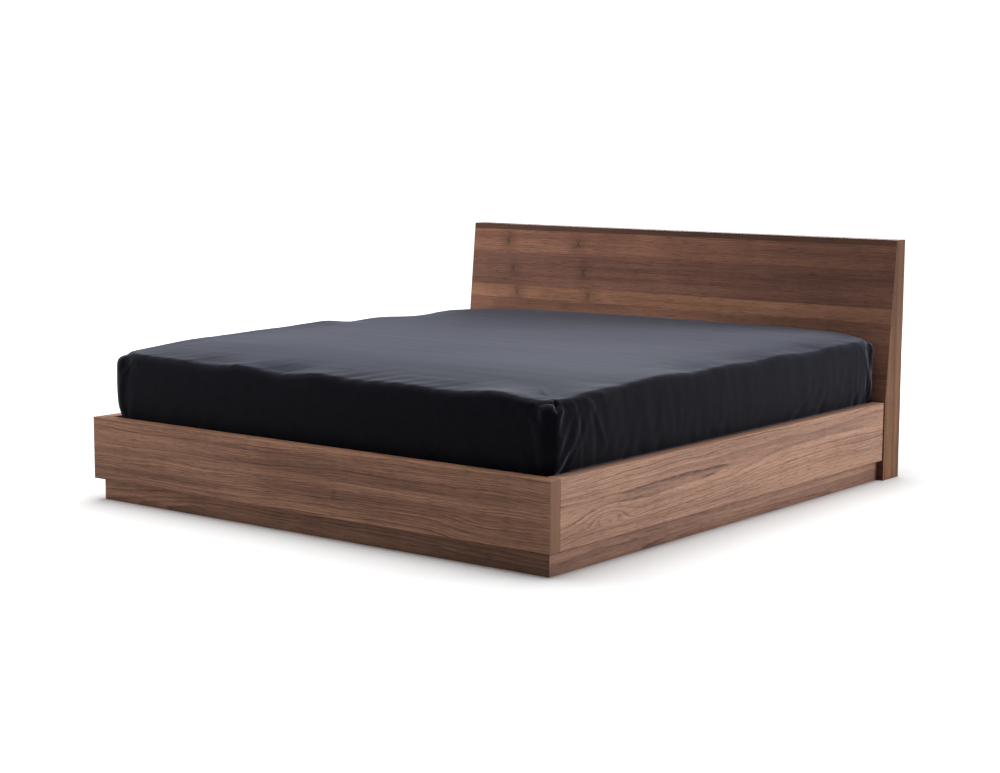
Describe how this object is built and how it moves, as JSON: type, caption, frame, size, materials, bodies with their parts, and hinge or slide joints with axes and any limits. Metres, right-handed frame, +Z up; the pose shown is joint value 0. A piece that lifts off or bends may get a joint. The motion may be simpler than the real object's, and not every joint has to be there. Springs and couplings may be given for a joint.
{
  "type": "platform bed",
  "caption": "King-size platform bed: wide veneered rails on a recessed plinth, a low box headboard with a leaning face, a slatted base and a mattress in a fitted sheet.",
  "frame": {"origin": "on the floor, at the middle of the bed's footprint", "axes": "+Z up, +Y towards the headboard, +X to the sleeper's left when lying with the head at the headboard, which is the right side seen from the foot"},
  "size_m": [2.04, 2.267, 0.916],
  "materials": {
    "walnut": "satin",
    "beam_wood": "matte",
    "slat_wood": "matte",
    "bracket_steel": "satin",
    "zinc": "satin",
    "foot_plastic": "matte",
    "ticking": "matte",
    "sheet": "matte"
  },
  "bodies": {
    "bed_frame": {"beam_hanger_foot": "bracket_steel", "beam_hanger_head": "bracket_steel", "centre_beam": "beam_wood", "centre_leg_1": "beam_wood", "centre_leg_2": "beam_wood", "centre_leg_3": "beam_wood", "corner_bracket_foot_left": "bracket_steel", "corner_bracket_foot_right": "bracket_steel", "corner_bracket_head_left": "bracket_steel", "corner_bracket_head_right": "bracket_steel", "cross_bolt_foot_left": "zinc", "cross_bolt_foot_right": "zinc", "cross_bolt_head_left": "zinc", "cross_bolt_head_right": "zinc", "foot_rail": "walnut", "headboard_back_panel": "walnut", "headboard_bottom_rail": "beam_wood", "headboard_face_board_1": "walnut", "headboard_face_board_2": "walnut", "headboard_face_board_3": "walnut", "headboard_face_board_4": "walnut", "headboard_face_board_5": "walnut", "headboard_left_end": "walnut", "headboard_lower_panel": "walnut", "headboard_rib_1": "beam_wood", "headboard_rib_2": "beam_wood", "headboard_rib_3": "beam_wood", "headboard_right_end": "walnut", "headboard_top_panel": "walnut", "plinth_foot_board": "walnut", "plinth_head_board": "walnut", "plinth_left_board": "walnut", "plinth_right_board": "walnut", "rail_bolt_foot_left": "zinc", "rail_bolt_foot_right": "zinc", "rail_bolt_head_left": "zinc", "rail_bolt_head_right": "zinc", "side_rail_left": "walnut", "side_rail_right": "walnut", "slat_01": "slat_wood", "slat_02": "slat_wood", "slat_03": "slat_wood", "slat_04": "slat_wood", "slat_05": "slat_wood", "slat_06": "slat_wood", "slat_07": "slat_wood", "slat_08": "slat_wood", "slat_09": "slat_wood", "slat_10": "slat_wood", "slat_11": "slat_wood", "slat_12": "slat_wood", "slat_cleat_left": "beam_wood", "slat_cleat_right": "beam_wood"},
    "mattress": {"mattress": "ticking", "fitted_sheet": "sheet"},
    "levelling_foot_1": {"levelling_foot_1": "foot_plastic"},
    "levelling_foot_2": {"levelling_foot_2": "foot_plastic"},
    "levelling_foot_3": {"levelling_foot_3": "foot_plastic"}
  },
  "joints": [
    {"name": "mattress_lift", "type": "slide", "parent": "bed_frame", "child": "mattress", "axis": [0, 0, 1], "range_m": [0, 0.35]},
    {"name": "levelling_foot_1_thread", "type": "slide", "parent": "bed_frame", "child": "levelling_foot_1", "axis": [0, 0, 1], "range_m": [-0.01, 0.006]},
    {"name": "levelling_foot_2_thread", "type": "slide", "parent": "bed_frame", "child": "levelling_foot_2", "axis": [0, 0, 1], "range_m": [-0.01, 0.006]},
    {"name": "levelling_foot_3_thread", "type": "slide", "parent": "bed_frame", "child": "levelling_foot_3", "axis": [0, 0, 1], "range_m": [-0.01, 0.006]}
  ]
}
